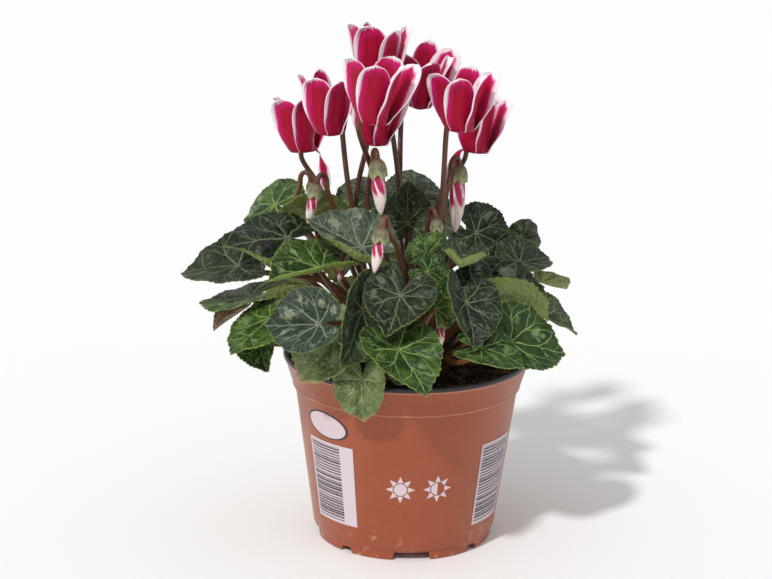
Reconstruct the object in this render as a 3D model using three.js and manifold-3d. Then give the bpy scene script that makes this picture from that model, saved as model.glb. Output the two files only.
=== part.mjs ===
// A potted cyclamen. A two-tone nursery pot holds soil with a corm in it. The corm
// carries all the leaf stalks and flower stalks as one body; each leaf blade, each
// open flower and each bud is a piece of its own.
// Millimetres, +Z up, the front is -Y, the floor is z = 0 under the pot's axis.
import * as THREE from 'three';
import { mergeVertices } from 'three/addons/utils/BufferGeometryUtils.js';
import Module from 'manifold-3d';

const wasm = await Module();
wasm.setup();

// The pot, sold as a 12 cm nursery pot.
const RIM_RADIUS = 57.5;
const POT_HEIGHT = 88;
const BAND_BOTTOM = 72.5;
const FOOT_RADIUS = 40.9;
const FOOT_HEIGHT = 5.2;
const POT_WALL = 1.4;
const WALL_SLOPE = 0.138;
const POT_SIDES = 32;
const NOTCHES = 8;
const FIRST_NOTCH = 5.5;

// The soil and the corm.
const SOIL_TOP = 78;
const CORM_RADIUS = 19;
const CORM_HALF_HEIGHT = 9;
const CORM_CENTRE = 80;
const GAP = 0.35;

// Blades, petals and stalks.
const BLADE_THICKNESS = 0.8;
const PETAL_THICKNESS = 0.7;
const PETAL_LENGTH = 29;
const PETAL_HALF_WIDTH = 7.7;
const PETAL_TWIST = -22;
const MOUTH_RADIUS = 5.6;
const LEAF_STALK_RADIUS = 1.25;
const FLOWER_STALK_RADIUS = 1.15;

// Leaves. Turn (degrees from the front, + to the right), reach from the axis and
// height of the point where the stalk meets the blade; length from there to the tip;
// turn and tilt of the way the face looks; heading of the tip (0 is downhill, + to
// the right); fold along the midrib; droop from the stalk to the tip.
const LEAVES = [
  [-112, 68, 150, 24, -42, 52, -84, 5, 45],
  [-98, 45, 151, 24, 192, 42, 179, 0, 20],
  [-72, 58, 145, 31, 25, 57, -92, -12, 15],
  [-31, 41, 146, 28, 34, 54, -134, 22, -6],
  [-79, 79, 131, 31, -36, 66, -73, 17, 15],
  [-43, 57, 138, 29, 26, 82, -78, 24, 4],
  [-31, 75, 119, 28, -38, 24, -76, 36, -15],
  [-76, 74, 118, 27, -90, 70, -21, 2, -5],
  [-56, 74, 114, 27, -51, 65, 7, 0, 6],
  [-63, 75, 101, 18, -35, 40, 43, 30, 0],
  [-31, 62, 108.5, 26, -8, 37, -39, 22, 40],
  [-19, 61, 124, 29, 50, 8, -38, 20, -5],
  [-3, 62, 132, 25, 0, 50, -15, 14, 5],
  [-3, 74, 111, 28, 22, 63, 9, 17, 14],
  [-18, 63, 92.5, 20, -16, 17, 3, 25, 40],
  [27, 56, 126, 25, 45, 42, -22, 28, 0],
  [14, 32, 142, 15, 25, 24, 130, -25, 0],
  [11, 43, 138, 14, 22, 37, 60, 8, 34],
  [107, 32, 143, 22, 30, 20, 62, 18, 10],
  [33, 45, 144, 17, 20, 72, -31, 20, -20],
  [90, -1, 149, 21, 5, 36, 178, 30, -10],
  [175, 29, 154, 26, 22, 57, 163, -9, 29],
  [58, 44, 119.5, 33, 36, 72, 70, 64, 36],
  [100, 52, 129, 21, 42, 63, 91, 25, 7],
  [108, 65, 117, 20, 152, 62, -18, 17, -20],
  [92, 64, 105.5, 21, 71, 55, 38, 23, 13],
  [49, 61, 105, 29, 25, 45, 76, 22, 22],
  [29, 68, 108, 21, 14, 68, 68, 10, 40],
  [122, 62, 135, 14, 36, 30, 93, 35, 29],
  [-98, 69, 126, 14, -62, 15, -76, 33, -7],
  [-1, 58, 98, 10, -17, 15, -28, 30, 30],
  [-90, 78, 105, 17, -60, 43, -35, 43, 0],
  [13, 55, 124, 16, 60, 25, 165, 30, 10],
  [-136, 29, 155, 22, 10, 61, 174, 0, 32],
  [146, 50, 134, 32, 148, 49, 5, 12, 20],
  [180, 60, 113, 33, 180, 45, -12, 14, 22],
  [-153, 52, 130.5, 34, -150, 45, 8, 10, 20],
  [-125, 60, 110, 31, -126, 42, -6, 14, 24],
  [140, 62, 106, 31, 138, 38, 10, 12, 26],
  [-162, 60, 97, 30, -163, 32, 4, 12, 28],
  [177, 50, 141, 31, 178, 54, -6, 10, 18],
];

// Open flowers. The middle of the mouth, which looks down; the lean of the flower to
// the right and to the back in degrees; the side that the stalk comes up on; how far
// the petals flare; the length of a petal; which petal hangs down, if one does; and
// the point that the stalk comes up through.
const BLOOMS = [
  { mouth: [-49.5, 18, 178], lean: [-5, 4], stalkSide: -167, flare: 6, length: 26, hanging: 3,
    foot: [-39, 20, 157] },
  { mouth: [-36, -11, 193], lean: [-2, -3], stalkSide: 142, flare: 8, length: 27.5, foot: [-27, -6, 160] },
  { mouth: [-17, -36, 203], lean: [7, 0], stalkSide: -133, flare: 11, length: 29, foot: [-16, -13, 173] },
  { mouth: [-15.5, 9, 210.4], lean: [2, 3], stalkSide: 150, flare: 8, length: 29, foot: [-6, 16, 170] },
  { mouth: [-16.5, -11, 188.5], lean: [3, 0], stalkSide: -152, flare: 8, length: 25, foot: [-25, 0, 162] },
  { mouth: [3, 31, 198.5], lean: [7, -12], stalkSide: -115, flare: 10, length: 28, foot: [-5, 20, 166] },
  { mouth: [21.5, -20, 197.5], lean: [1, -2], stalkSide: -130, flare: 10, length: 27, foot: [14, -13, 158] },
  { mouth: [29.5, 18, 179.5], lean: [5, 3], stalkSide: -149, flare: 6, length: 26, hanging: 0,
    foot: [13, 27, 152] },
];

// Buds. The top of the calyx, the tip of the bud, and the point that the stalk
// comes up through beside it.
const BUDS = [
  { top: [-15, -26, 183.5], tip: [-13, -26, 159], foot: [-20, -14, 162] },
  { top: [22, 2, 175.7], tip: [21, 2, 144.7], foot: [15, -5, 157] },
  { top: [-42, -17, 170], tip: [-46, -17, 152], foot: [-34, -11, 157] },
  { top: [-12, -57, 160.5], tip: [-15, -59, 141], foot: [-5, -44, 150] },
  { top: [-30, -31, 138], tip: [-31, -32, 129], foot: [-22, -25, 126] },
  { top: [12, -15, 154.5], tip: [13, -16, 138], foot: [7, -9, 142] },
  { top: [15, -46, 117], tip: [15, -48, 105], foot: [17, -36, 112] },
  { top: [-46, 14, 164], tip: [-46, 14, 152], foot: [-57, 17, 157] },
];

const rad = THREE.MathUtils.degToRad;
const vec = (x, y, z) => new THREE.Vector3(x, y, z);

// A point at a turn from the front, a reach from the axis and a height.
function onPlan(turn, reach, height) {
  return vec(reach * Math.sin(rad(turn)), -reach * Math.cos(rad(turn)), height);
}

// The same small set of random numbers on every run.
function makeRandom(seed) {
  let state = seed;
  return () => {
    state = (state * 1664525 + 1013904223) % 4294967296;
    return state / 4294967296;
  };
}

// Geometry from points and triangles, turned inside out where its volume is negative.
function fromTriangles(points, triangles) {
  let volume = 0;
  for (const [a, b, c] of triangles) {
    volume += points[a].dot(vec(0, 0, 0).crossVectors(points[b], points[c]));
  }
  const order = volume < 0 ? triangles.map(([a, b, c]) => [a, c, b]) : triangles;
  const geometry = new THREE.BufferGeometry();
  const numbers = points.flatMap((p) => p.toArray());
  geometry.setAttribute('position', new THREE.Float32BufferAttribute(numbers, 3));
  geometry.setIndex(order.flat());
  return geometry;
}

function toManifold(geometry) {
  const bare = geometry.clone();
  bare.deleteAttribute('normal');
  bare.deleteAttribute('uv');
  const merged = mergeVertices(bare, 1e-4);
  return new wasm.Manifold(new wasm.Mesh({
    numProp: 3,
    vertProperties: new Float32Array(merged.attributes.position.array),
    triVerts: new Uint32Array(merged.index.array),
  }));
}

function toGeometry(manifold) {
  const mesh = manifold.getMesh();
  const geometry = new THREE.BufferGeometry();
  const positions = [];
  for (let i = 0; i < mesh.numVert; i += 1) {
    positions.push(...mesh.vertProperties.slice(i * mesh.numProp, i * mesh.numProp + 3));
  }
  geometry.setAttribute('position', new THREE.Float32BufferAttribute(positions, 3));
  geometry.setIndex(Array.from(mesh.triVerts));
  return geometry;
}

function fuse(geometries) {
  return toGeometry(wasm.Manifold.union(geometries.map(toManifold)));
}

// A closed skin over rings of the same number of points, with both ends capped.
function loft(rings) {
  const sides = rings[0].length;
  const points = rings.flat();
  const triangles = [];
  for (let i = 0; i + 1 < rings.length; i += 1) {
    for (let j = 0; j < sides; j += 1) {
      const a = i * sides + j;
      const b = i * sides + (j + 1) % sides;
      triangles.push([a, b, b + sides], [a, b + sides, a + sides]);
    }
  }
  for (const [start, turned] of [[0, true], [(rings.length - 1) * sides, false]]) {
    const middle = vec(0, 0, 0);
    for (let j = 0; j < sides; j += 1) {
      middle.addScaledVector(points[start + j], 1 / sides);
    }
    points.push(middle);
    for (let j = 0; j < sides; j += 1) {
      const a = start + j;
      const b = start + (j + 1) % sides;
      triangles.push(turned ? [b, a, points.length - 1] : [a, b, points.length - 1]);
    }
  }
  return fromTriangles(points, triangles);
}

// A stem along a curve.
function stem(curve, steps, radius) {
  const section = new THREE.Shape();
  for (let i = 0; i < 5; i += 1) {
    const angle = 2 * Math.PI * i / 5;
    const corner = [radius * Math.cos(angle), radius * Math.sin(angle)];
    if (i === 0) section.moveTo(...corner);
    else section.lineTo(...corner);
  }
  return new THREE.ExtrudeGeometry(section, { steps, extrudePath: curve, bevelEnabled: false });
}

// A sheet given a thickness along its own normals and closed round its rim.
function thicken(points, normals, triangles, rim, thickness) {
  const all = [
    ...points.map((p, i) => p.clone().addScaledVector(normals[i], thickness / 2)),
    ...points.map((p, i) => p.clone().addScaledVector(normals[i], -thickness / 2)),
  ];
  const count = points.length;
  const faces = [...triangles, ...triangles.map(([a, b, c]) => [a + count, c + count, b + count])];
  for (let i = 0; i < rim.length; i += 1) {
    const a = rim[i];
    const b = rim[(i + 1) % rim.length];
    faces.push([a, a + count, b + count], [a, b + count, b]);
  }
  return fromTriangles(all, faces);
}

// Leaf blades.

// How far the edge of a blade is from its stalk, in parts of the blade's length.
function bladeEdge(angle) {
  const away = Math.abs(angle);
  const round = 0.66 + 0.34 * Math.exp(-away / 30);
  return round * (1 - 0.93 * Math.exp(-(((180 - away) / 15) ** 2)));
}

function bladeFrame([turn, reach, height, size, faceTurn, faceTilt, heading, fold, bend]) {
  const face = vec(
    Math.sin(rad(faceTurn)) * Math.cos(rad(faceTilt)),
    -Math.cos(rad(faceTurn)) * Math.cos(rad(faceTilt)),
    Math.sin(rad(faceTilt)),
  );
  const down = vec(0, 0, -1).addScaledVector(face, face.z).normalize();
  const right = vec(0, 0, 0).crossVectors(face, down);
  const along = down.multiplyScalar(Math.cos(rad(heading))).addScaledVector(right, Math.sin(rad(heading)));
  const side = vec(0, 0, 0).crossVectors(along, face);
  const matrix = new THREE.Matrix4().makeBasis(side, along, face).setPosition(onPlan(turn, reach, height));
  return { matrix, face, along, size, fold: rad(fold), curl: rad(bend) / size };
}

// A point of a blade's middle surface, in the blade's own frame: x is across the
// midrib, y runs from the stalk to the tip and z is the way the face looks.
function bladePoint(frame, across, along, phase) {
  const { size } = frame;
  const curl = Math.abs(frame.curl) < 1e-4 ? 1e-4 : frame.curl;
  const reach = Math.hypot(across, along);
  const angle = Math.atan2(across, along);
  const crease = Math.hypot(across, 0.06 * size) - 0.06 * size;
  const wave = 0.03 * size * (reach / size) ** 2 * Math.sin(3 * angle + phase);
  const rise = crease * Math.sin(frame.fold) + wave;
  const forward = Math.sin(curl * along) / curl + rise * Math.sin(curl * along);
  const up = -(1 - Math.cos(curl * along)) / curl + rise * Math.cos(curl * along);
  return vec(across * Math.cos(frame.fold), forward, up);
}

function bladeSheet(row, index) {
  const frame = bladeFrame(row);
  const teeth = row[3] < 20 || Math.abs(row[0]) > 125 ? 9 : 12;
  const flat = [[0, 0]];
  for (let i = 0; i < teeth; i += 1) {
    const angle = 360 * i / teeth - 180;
    const reach = 0.55 * bladeEdge(angle) * row[3];
    flat.push([reach * Math.sin(rad(angle)), reach * Math.cos(rad(angle))]);
  }
  for (let i = 0; i < 2 * teeth; i += 1) {
    const angle = 180 * i / teeth - 180;
    const reach = bladeEdge(angle) * row[3] * (i % 2 === 0 ? 1 : 0.94);
    flat.push([reach * Math.sin(rad(angle)), reach * Math.cos(rad(angle))]);
  }
  const points = flat.map(([u, v]) => bladePoint(frame, u, v, index));
  const normals = flat.map(([u, v], i) => {
    const across = bladePoint(frame, u + 0.1, v, index).sub(points[i]);
    const along = bladePoint(frame, u, v + 0.1, index).sub(points[i]);
    return across.cross(along).normalize();
  });
  const triangles = [];
  const rim = [];
  for (let i = 0; i < teeth; i += 1) {
    const a = 1 + i;
    const b = 1 + (i + 1) % teeth;
    const tooth = 1 + teeth + 2 * i;
    const next = 1 + teeth + (2 * i + 2) % (2 * teeth);
    triangles.push([0, b, a], [a, tooth + 1, tooth], [a, b, tooth + 1], [b, next, tooth + 1]);
    rim.unshift(tooth + 1, tooth);
  }
  return { frame, points, normals, triangles, rim };
}

// Open flowers. Each has a short tube with its mouth down and five petals that are
// folded back up from the rim of the mouth.

// The flower's own upright: local z is up the flower, away from the mouth.
function bloomFrame(bloom) {
  const lean = new THREE.Euler(rad(-bloom.lean[1]), rad(bloom.lean[0]), 0);
  return new THREE.Matrix4().makeRotationFromEuler(lean).setPosition(...bloom.mouth);
}

const PETAL_STATIONS = [0, 0.1, 0.38, 0.74, 1];

// The rows of points across one petal, from inside the mouth to its tip. A petal that
// hangs is a narrow strap that turns on itself.
function petalRows(turn, flare, length, hanging) {
  const rows = [];
  let reach = MOUTH_RADIUS;
  let height = 0;
  let travelled = 0;
  for (const part of PETAL_STATIONS) {
    const steps = 8;
    const step = (part * length - travelled) / steps;
    for (let i = 0; i < steps; i += 1) {
      const at = (travelled + step / 2) / length;
      const upward = flare + 5 * at + (70 - flare) * Math.exp(-at / 0.035);
      const fold = hanging ? 178 - 88 * Math.exp(-at / 0.12) : upward;
      reach += step * Math.sin(rad(fold));
      height += step * Math.cos(rad(fold));
      travelled += step;
    }
    const growth = Math.sin(Math.min(part / 0.62, 1) * Math.PI / 2);
    const blade = (3.3 + (PETAL_HALF_WIDTH - 3.3) * growth) * length / PETAL_LENGTH;
    const widest = hanging ? 1.6 + 1.4 * growth : blade;
    const round = part > 0.62 ? Math.sqrt(1 - ((part - 0.62) / 0.42) ** 2) : 1;
    const half = widest * round;
    const bow = 5.5 + 14 * part;
    const turned = hanging ? 3.5 * Math.min(1, 2.2 * part) : Math.min(1, 0.3 + 3 * part);
    const angle = rad(PETAL_TWIST * turned);
    const middle = onPlan(turn, reach, height);
    const out = onPlan(turn, 1, 0);
    const acrossFlat = onPlan(turn + 90, 1, 0);
    const across = acrossFlat.clone().multiplyScalar(Math.cos(angle)).addScaledVector(out, Math.sin(angle));
    const inward = acrossFlat.multiplyScalar(Math.sin(angle)).addScaledVector(out, -Math.cos(angle));
    rows.push([-1, 0, 1].map((side) => middle.clone()
      .addScaledVector(across, side * half)
      .addScaledVector(inward, side * side * half * half / (2 * bow))));
  }
  return rows;
}

// A sheet over rows of points, each point with the normal of its neighbours.
function rowSheet(rows) {
  const wide = rows[0].length;
  const last = rows.length - 1;
  const points = rows.flat();
  const normals = [];
  const triangles = [];
  const rim = [];
  for (let i = 0; i <= last; i += 1) {
    for (let j = 0; j < wide; j += 1) {
      const across = rows[i][Math.min(j + 1, wide - 1)].clone().sub(rows[i][Math.max(j - 1, 0)]);
      const along = rows[Math.min(i + 1, last)][j].clone().sub(rows[Math.max(i - 1, 0)][j]);
      normals.push(across.cross(along).normalize());
      if (i < last && j < wide - 1) {
        const a = i * wide + j;
        triangles.push([a, a + 1, a + wide + 1], [a, a + wide + 1, a + wide]);
      }
    }
  }
  for (let j = 0; j < wide; j += 1) rim.push(j);
  for (let i = 1; i <= last; i += 1) rim.push(i * wide + wide - 1);
  for (let j = wide - 2; j >= 0; j -= 1) rim.push(last * wide + j);
  for (let i = last - 1; i > 0; i -= 1) rim.push(i * wide);
  return { points, normals, triangles, rim };
}

function petalSheets(bloom) {
  return [0, 1, 2, 3, 4].map((k) => {
    const turn = bloom.stalkSide + 66 + 57 * k;
    const flare = bloom.flare + [0, 2, -3, 3, -1][k];
    const hanging = k === bloom.hanging;
    return rowSheet(petalRows(turn, flare, bloom.length * (hanging ? 0.8 : 1), hanging));
  });
}

// Rings round the local z axis, given as radius and height.
function rings(profile, sides, matrix) {
  return profile.map(([radius, height]) => Array.from({ length: sides }, (_, j) => {
    const angle = 2 * Math.PI * j / sides;
    return vec(radius * Math.cos(angle), radius * Math.sin(angle), height).applyMatrix4(matrix);
  }));
}

function bloomBody(sheets) {
  const profile = [[3.2, 5.4], [5.4, 2.4], [6.2, 0], [5, -0.3], [3, 4]];
  const tube = loft(rings(profile, 6, new THREE.Matrix4()));
  const petals = sheets.map((s) => thicken(s.points, s.normals, s.triangles, s.rim, PETAL_THICKNESS));
  return fuse([tube, ...petals]);
}

// Buds. A twisted spindle hangs from a calyx at the end of a hooked stalk.
function budFrame(bud) {
  const top = vec(...bud.top);
  const up = top.clone().sub(vec(...bud.tip));
  const length = up.length();
  const turned = new THREE.Quaternion().setFromUnitVectors(vec(0, 0, 1), up.normalize());
  return { matrix: new THREE.Matrix4().compose(top, turned, vec(1, 1, 1)), length };
}

function budBody(length) {
  const inner = length - 3;
  const shape = [[1.9, 0], [2.6, 0.12], [3.1, 0.4], [2.6, 0.7], [0.5, 1]];
  const scale = Math.min(1.12, length / 25);
  const sections = shape.map(([radius, part]) => Array.from({ length: 8 }, (_, j) => {
    const angle = 2 * Math.PI * j / 8 + 1.4 * part;
    return vec(scale * radius * Math.cos(angle), scale * radius * Math.sin(angle), -3 - inner * part);
  }));
  return loft(sections);
}

// A cup of five sepals with its closed end at local z = 0.
function calyx(matrix, scale, depth) {
  const cup = [[1.2, 0.4, 0], [2.9, -2, 0], [3.6, -6, 1], [3, -5.8, 1], [2.4, -3.4, 0]];
  return loft(cup.map(([radius, height, pointed]) => Array.from({ length: 10 }, (_, j) => {
    const angle = 2 * Math.PI * j / 10;
    const drop = pointed * (j % 2 === 0 ? -1.6 : 1.2);
    const wide = scale * radius;
    return vec(wide * Math.cos(angle), wide * Math.sin(angle), depth * (height + drop))
      .applyMatrix4(matrix);
  })));
}

// Stems. The part of each that the leaves hide is free: it takes the way, out of a
// few, that passes farthest from the blades, petals and buds.

function obstacle(sheet, matrix, halfThickness) {
  const points = sheet.points.map((p) => p.clone().applyMatrix4(matrix));
  const triangles = sheet.triangles.map(([a, b, c]) => new THREE.Triangle(points[a], points[b], points[c]));
  return { sphere: new THREE.Sphere().setFromPoints(points), triangles, halfThickness };
}

// The gap left round a stem that runs through the points, up to five millimetres.
function clearance(points, radius, obstacles) {
  const nearest = vec(0, 0, 0);
  let best = 5;
  for (const point of points) {
    for (const { sphere, triangles, halfThickness } of obstacles) {
      const margin = radius + halfThickness;
      if (sphere.distanceToPoint(point) - margin < best) {
        for (const triangle of triangles) {
          triangle.closestPointToPoint(point, nearest);
          best = Math.min(best, nearest.distanceTo(point) - margin);
        }
      }
    }
    const fromPot = Math.hypot(point.x, point.y) - (RIM_RADIUS - 3) + radius;
    if (point.z < POT_HEIGHT + 2) best = Math.min(best, -fromPot);
  }
  return best;
}

function cormTop(reach) {
  return CORM_CENTRE + CORM_HALF_HEIGHT * Math.sqrt(1 - (reach / CORM_RADIUS) ** 2);
}

// Places on the corm for the stems to stand in, laid out like seeds in a head.
const standing = Array.from({ length: 64 }, (_, i) => (
  onPlan(137.5 * i, 16.5 * Math.sqrt((i + 0.5) / 64), 0)
));

// The free place that is nearest to the one wanted.
function takePlace(turn, reach) {
  const wanted = onPlan(turn, reach, 0);
  let best = 0;
  for (let i = 1; i < standing.length; i += 1) {
    if (standing[i].distanceTo(wanted) < standing[best].distanceTo(wanted)) best = i;
  }
  const [place] = standing.splice(best, 1);
  return place.setZ(cormTop(Math.hypot(place.x, place.y)) - 2.2);
}

const stemsSoFar = [];

// How far a stem stays from the stems before it, above the crowded corm.
function stemGap(points) {
  let best = 3;
  for (const point of points) {
    if (point.z < 92) continue;
    for (const other of stemsSoFar) {
      if (Math.abs(other.z - point.z) < 5) best = Math.min(best, other.distanceTo(point) - 2.6);
    }
  }
  return best;
}

// A stalk's curve whose last stretch, the hook, takes half of all its steps.
class HookedCurve extends THREE.CatmullRomCurve3 {
  constructor(points, hookLength) {
    super(points, false, 'centripetal');
    this.hookLength = hookLength;
  }

  getUtoTmapping(share) {
    const start = 1 - this.hookLength / this.getLength();
    return super.getUtoTmapping(share < 0.5 ? 2 * share * start : start + (2 * share - 1) * (1 - start));
  }
}

// Points along the straight runs that a stem of so many steps is made of.
function runs(curve, steps) {
  const corners = curve.getSpacedPoints(steps);
  const points = [];
  for (let i = 0; i < 8 * steps; i += 1) {
    const corner = Math.floor(i / 8);
    points.push(corners[corner].clone().lerp(corners[corner + 1], i / 8 - corner));
  }
  return [...points, corners[steps]];
}

function chooseStem(curves, scoreOf) {
  let best = { score: -Infinity };
  for (const choice of curves) {
    const score = scoreOf(choice);
    if (score > best.score) best = { ...choice, score };
  }
  stemsSoFar.push(...best.points);
  return best.curve;
}

function leafStalk(sheet, row, obstacles, own) {
  const { matrix, face, along } = sheet.frame;
  const at = vec(0, 0, 0).setFromMatrixPosition(matrix);
  const root = takePlace(row[0], 4 + 12 * Math.min(1, row[1] / 75));
  const curves = [];
  for (const [slant, pull] of [[30, 0.35], [30, 0.2], [60, 0.3], [75, 0.4], [60, 0.15]]) {
    const cos = Math.cos(rad(slant));
    const sin = Math.sin(rad(slant));
    const entry = face.clone().multiplyScalar(cos).addScaledVector(along, sin);
    const spare = row[7] < 0 ? 0.4 : 0;
    const drop = BLADE_THICKNESS / 2 + GAP + LEAF_STALK_RADIUS * sin + spare;
    const end = at.clone().addScaledVector(face, -drop);
    for (const lift of [0.6, 0.35, 0.85, 1.1, 0.15]) {
      for (const swing of [0, -14, 14, -30, 30, -50, 50, -80, 80, -120, 120]) {
        const rise = onPlan(row[0] + swing, 14 + (row[1] - 14) * (0.55 - 0.4 * lift), 0);
        rise.z = root.z + (end.z - root.z) * lift;
        const approach = end.clone().addScaledVector(entry, -pull * end.distanceTo(root));
        const curve = new THREE.CubicBezierCurve3(root, rise, approach, end);
        curves.push({ curve, points: runs(curve, 6), cost: 0.004 * Math.abs(swing) });
      }
    }
  }
  return chooseStem(curves, ({ points, cost }) => {
    const gap = Math.min(
      clearance(points, LEAF_STALK_RADIUS, obstacles),
      clearance(points.slice(0, -3), LEAF_STALK_RADIUS, [own]),
    );
    return Math.min(gap, 0.6) * 4 + Math.min(stemGap(points), 0.4) - cost;
  });
}

// A stalk from the corm through its foot, over the hook and down to the calyx.
function hookedStalk(foot, hook, hookLength, steps, obstacles) {
  const root = takePlace(THREE.MathUtils.radToDeg(Math.atan2(foot.x, -foot.y)), 5);
  const curves = [];
  for (const low of [0.45, 0.3, 0.6]) {
    for (const spread of [0, 5, 10, 16, 22]) {
      for (const turn of [0, 60, 120, 180, 240, 300]) {
        const middle = root.clone().lerp(foot, low).add(onPlan(turn, spread, 0));
        const curve = new HookedCurve([root, middle, foot, ...hook], hookLength);
        curves.push({ curve, points: runs(curve, steps), cost: 0.01 * spread });
      }
    }
  }
  return chooseStem(curves, ({ points, cost }) => {
    const gap = clearance(points, FLOWER_STALK_RADIUS, obstacles);
    return Math.min(gap, 0.6) * 4 + Math.min(stemGap(points.slice(0, 4 * steps)), 0.4) - cost;
  });
}

// Pot and soil.

function wallAt(height) {
  return FOOT_RADIUS + 1.6 + (height - FOOT_HEIGHT) * WALL_SLOPE;
}

function makePot() {
  const profile = [
    [0, 0],
    [8, 0],
    [8, FOOT_HEIGHT],
    [FOOT_RADIUS - 2.2, FOOT_HEIGHT],
    [FOOT_RADIUS - 2.2, 0],
    [FOOT_RADIUS, 0],
    [FOOT_RADIUS + 0.5, FOOT_HEIGHT - 0.8],
    [wallAt(FOOT_HEIGHT), FOOT_HEIGHT],
    [wallAt(BAND_BOTTOM), BAND_BOTTOM],
    [wallAt(BAND_BOTTOM) + 1, BAND_BOTTOM + 0.5],
    [RIM_RADIUS - 1, POT_HEIGHT - 3.6],
    [RIM_RADIUS - 0.1, POT_HEIGHT - 2.8],
    [RIM_RADIUS, POT_HEIGHT - 1],
    [RIM_RADIUS - 0.4, POT_HEIGHT - 0.2],
    [RIM_RADIUS - 1.2, POT_HEIGHT],
    [RIM_RADIUS - 2.4, POT_HEIGHT - 1],
    [wallAt(BAND_BOTTOM) - 0.4, BAND_BOTTOM + 1.8],
    [wallAt(BAND_BOTTOM) - POT_WALL, BAND_BOTTOM],
    [wallAt(FOOT_HEIGHT) - POT_WALL, FOOT_HEIGHT + 2],
    [wallAt(FOOT_HEIGHT) - POT_WALL - 1.5, FOOT_HEIGHT + 1.4],
    [0, FOOT_HEIGHT + 1.4],
  ];
  const lathe = new THREE.LatheGeometry(profile.map(([r, z]) => new THREE.Vector2(r, z)), POT_SIDES);
  lathe.rotateX(Math.PI / 2);
  let pot = toManifold(lathe);
  // Drain notches in the foot, wide ones a quarter turn apart and narrow ones between.
  for (let k = 0; k < NOTCHES; k += 1) {
    const half = k % 2 === 0 ? 8 : 2.5;
    const height = k % 2 === 0 ? 3.9 : 2.8;
    const outline = new THREE.Shape([
      new THREE.Vector2(-half - 2, -1),
      new THREE.Vector2(half + 2, -1),
      new THREE.Vector2(half, height),
      new THREE.Vector2(-half, height),
    ]);
    const notch = new THREE.ExtrudeGeometry(outline, { depth: 12, bevelEnabled: false });
    notch.rotateX(Math.PI / 2);
    notch.translate(0, -34, 0);
    notch.rotateZ(rad(FIRST_NOTCH + 360 * k / NOTCHES));
    pot = pot.subtract(toManifold(notch));
  }
  return toGeometry(pot);
}

function makeSoil(holes) {
  const random = makeRandom(7);
  const sides = 30;
  const ring = (radius, height, rough) => Array.from({ length: sides }, (_, j) => {
    const angle = 2 * Math.PI * j / sides;
    return vec(radius * Math.cos(angle), radius * Math.sin(angle), height + rough * (random() - 0.5));
  });
  const soil = loft([
    ring(wallAt(FOOT_HEIGHT) - 4.6, 7.2, 0),
    ring(wallAt(FOOT_HEIGHT) - 2, 8.2, 0),
    ring(wallAt(BAND_BOTTOM) - 2.2, BAND_BOTTOM - 0.1, 0),
    ring(wallAt(BAND_BOTTOM) - 0.9, SOIL_TOP, 0.8),
    ring(44, SOIL_TOP + 0.4, 1.8),
    ring(32, SOIL_TOP + 0.8, 1.8),
    ring(21, SOIL_TOP + 1, 1.2),
  ]);
  return toGeometry(toManifold(soil).subtract(holes));
}

function cormBody(extra) {
  const profile = [];
  for (let i = 1; i < 8; i += 1) {
    const angle = Math.PI * i / 8;
    profile.push([(CORM_RADIUS + extra) * Math.sin(angle), -(CORM_HALF_HEIGHT + extra) * Math.cos(angle)]);
  }
  return loft(rings(profile, 13, new THREE.Matrix4().makeTranslation(0, 0, CORM_CENTRE)));
}

// All the pieces.

const group = new THREE.Group();
group.name = 'potted_cyclamen';

function addPiece(name, geometry, matrix, color, roughness) {
  const shown = geometry.toNonIndexed();
  shown.computeVertexNormals();
  const material = new THREE.MeshStandardMaterial({ color, roughness, metalness: 0 });
  material.name = `${name}_material`;
  const mesh = new THREE.Mesh(shown, material);
  mesh.name = name;
  mesh.applyMatrix4(matrix);
  group.add(mesh);
}

// The points and triangles of a body, for the stems to keep clear of.
function sheetOf(body) {
  const points = [];
  for (let i = 0; i < body.attributes.position.count; i += 1) {
    points.push(new THREE.Vector3().fromBufferAttribute(body.attributes.position, i));
  }
  const triangles = [];
  for (let i = 0; i < body.index.count; i += 3) {
    triangles.push([0, 1, 2].map((k) => body.index.array[i + k]));
  }
  return { points, triangles };
}

const bladeSheets = LEAVES.map(bladeSheet);
const bladeObstacles = bladeSheets.map((sheet) => obstacle(sheet, sheet.frame.matrix, BLADE_THICKNESS / 2));
const petals = BLOOMS.map(petalSheets);
const petalObstacles = BLOOMS.flatMap((bloom, i) => petals[i]
  .map((sheet) => obstacle(sheet, bloomFrame(bloom), PETAL_THICKNESS / 2)));
const budBodies = BUDS.map((bud) => budBody(budFrame(bud).length));
const budObstacles = budBodies.map((body, i) => obstacle(sheetOf(body), budFrame(BUDS[i]).matrix, 0));
const everything = [...bladeObstacles, ...petalObstacles, ...budObstacles];

const crownParts = [cormBody(0)];
BLOOMS.forEach((bloom, i) => {
  const matrix = bloomFrame(bloom);
  const local = (reach, height) => onPlan(bloom.stalkSide, reach, height).applyMatrix4(matrix);
  const hook = [local(8, -6), local(7.3, 2), local(6, 8), local(3, 12), local(0.4, 10.8), local(0, 7.7)];
  const curve = hookedStalk(vec(...bloom.foot), hook, 26, 16, everything);
  crownParts.push(stem(curve, 16, FLOWER_STALK_RADIUS));
  crownParts.push(loft(rings([[0.9, 8.6], [2.6, 7.4], [2.4, 6.2]], 5, matrix)));
});
BUDS.forEach((bud, i) => {
  const { matrix } = budFrame(bud);
  const top = vec(...bud.top);
  const foot = vec(...bud.foot);
  const aside = foot.clone().sub(top).setZ(0).normalize();
  const over = (reach, rise) => top.clone().addScaledVector(aside, reach).add(vec(0, 0, rise));
  const hook = [over(5.6, -4), over(5.2, 2.2), over(3.6, 4.8), over(1.4, 4.4), over(0.1, 2), over(0, -0.6)];
  const curve = hookedStalk(foot, hook, 16, 14, everything);
  crownParts.push(stem(curve, 14, FLOWER_STALK_RADIUS));
  crownParts.push(calyx(matrix, Math.min(1.1, budFrame(bud).length / 20), 0.75));
});
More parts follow.
